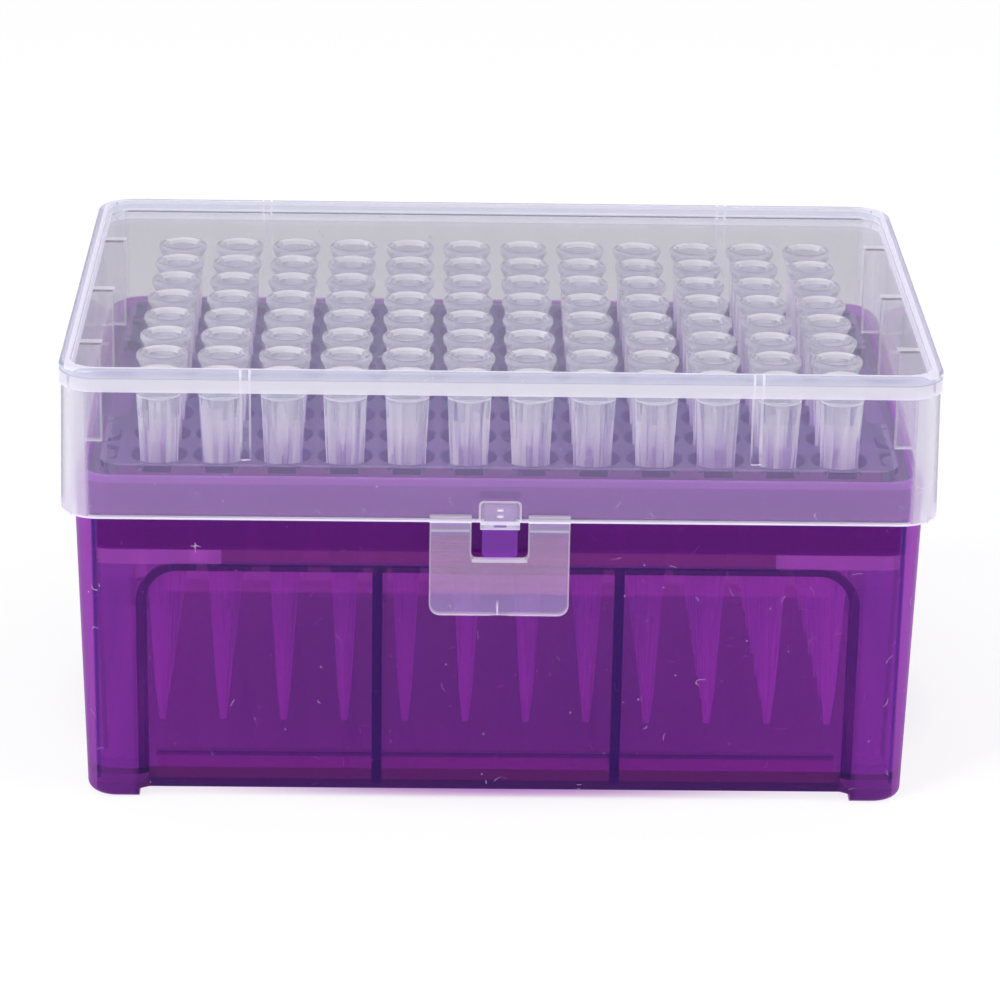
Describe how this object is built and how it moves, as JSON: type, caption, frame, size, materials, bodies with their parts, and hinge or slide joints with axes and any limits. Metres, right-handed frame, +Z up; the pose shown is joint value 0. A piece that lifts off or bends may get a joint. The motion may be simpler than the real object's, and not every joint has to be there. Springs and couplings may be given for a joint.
{
  "type": "pipette tip box",
  "caption": "Hinged box of disposable pipette tips: see-through lid with a front latch flap, tinted footed base, drop-in rack with sleeves that hold the tips upright",
  "frame": {"origin": "centre of the plane that the four feet stand on", "axes": "+Z up, +X along the length to the right when the latch faces the user, -Y towards the user (latch side), +Y towards the hinges"},
  "size_m": [0.1268, 0.0879, 0.0677],
  "materials": {
    "base": "tinted translucent polypropylene, smooth, with fine scratches and specks",
    "rack": "tinted translucent polypropylene, satin",
    "lid": "clear slightly milky polypropylene, glossy",
    "latch": "clear slightly milky polypropylene, glossy",
    "tips": "natural polypropylene, translucent"
  },
  "bodies": {
    "base": {"base": "base", "rack": "rack", "tips_column_01": "tips", "tips_column_02": "tips", "tips_column_03": "tips", "tips_column_04": "tips", "tips_column_05": "tips", "tips_column_06": "tips", "tips_column_07": "tips", "tips_column_08": "tips", "tips_column_09": "tips", "tips_column_10": "tips", "tips_column_11": "tips", "tips_column_12": "tips"},
    "lid": {"lid": "lid"},
    "latch": {"latch": "latch"}
  },
  "joints": [
    {"name": "lid_hinge", "type": "hinge", "parent": "base", "child": "lid", "pos_m": [0, 0.04281, 0.04337], "axis": [-1, 0, 0], "range_deg": [0, 110]},
    {"name": "latch_fold", "type": "hinge", "parent": "lid", "child": "latch", "pos_m": [0, -0.0427, 0.04451], "axis": [-1, 0, 0], "range_deg": [0, 120]}
  ]
}
